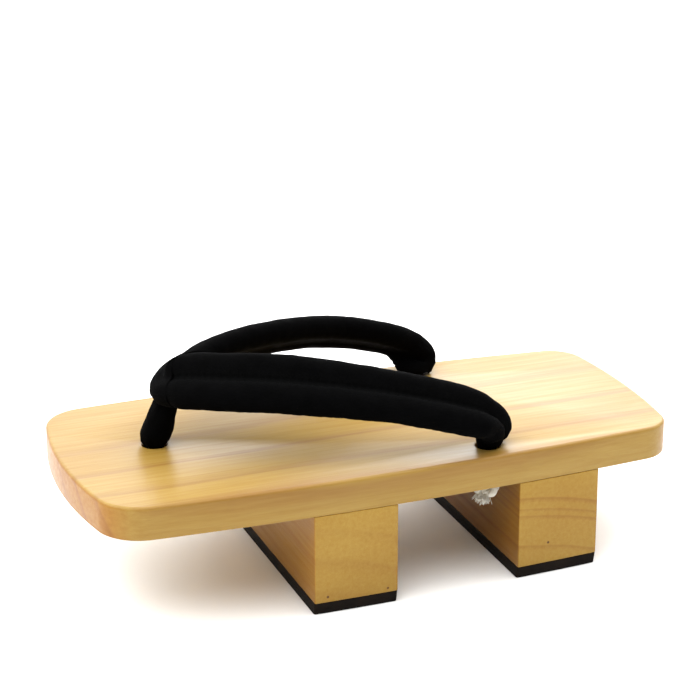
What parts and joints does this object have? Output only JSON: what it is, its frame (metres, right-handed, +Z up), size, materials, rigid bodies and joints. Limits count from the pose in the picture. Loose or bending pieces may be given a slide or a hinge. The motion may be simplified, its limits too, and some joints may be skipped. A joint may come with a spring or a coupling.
{
  "type": "geta sandal",
  "caption": "Wooden geta sandal: a flat board with rounded corners on two cross teeth shod with rubber, and a padded V-shaped thong held by a toe post and knotted cords.",
  "frame": {"origin": "on the ground, at the middle of the sandal's length and width", "axes": "-Y towards the toe, +Y towards the heel, +X towards the sandal's own left side, +Z up"},
  "size_m": [0.1156, 0.25, 0.0961],
  "materials": {
    "wood": "pale straight-grained softwood, smooth and lightly sealed",
    "rubber": "black matte sheet rubber",
    "velvet": "black short-pile velvet over soft padding",
    "cord": "off-white twisted cotton cord, frayed at its ends"
  },
  "bodies": {
    "root": {"board": "wood", "front_tooth": "wood", "rear_tooth": "wood", "front_pad": "rubber", "rear_pad": "rubber", "thong": "velvet", "toe_post": "velvet", "front_knot": "cord", "left_knot": "cord", "right_knot": "cord"}
  },
  "joints": []
}
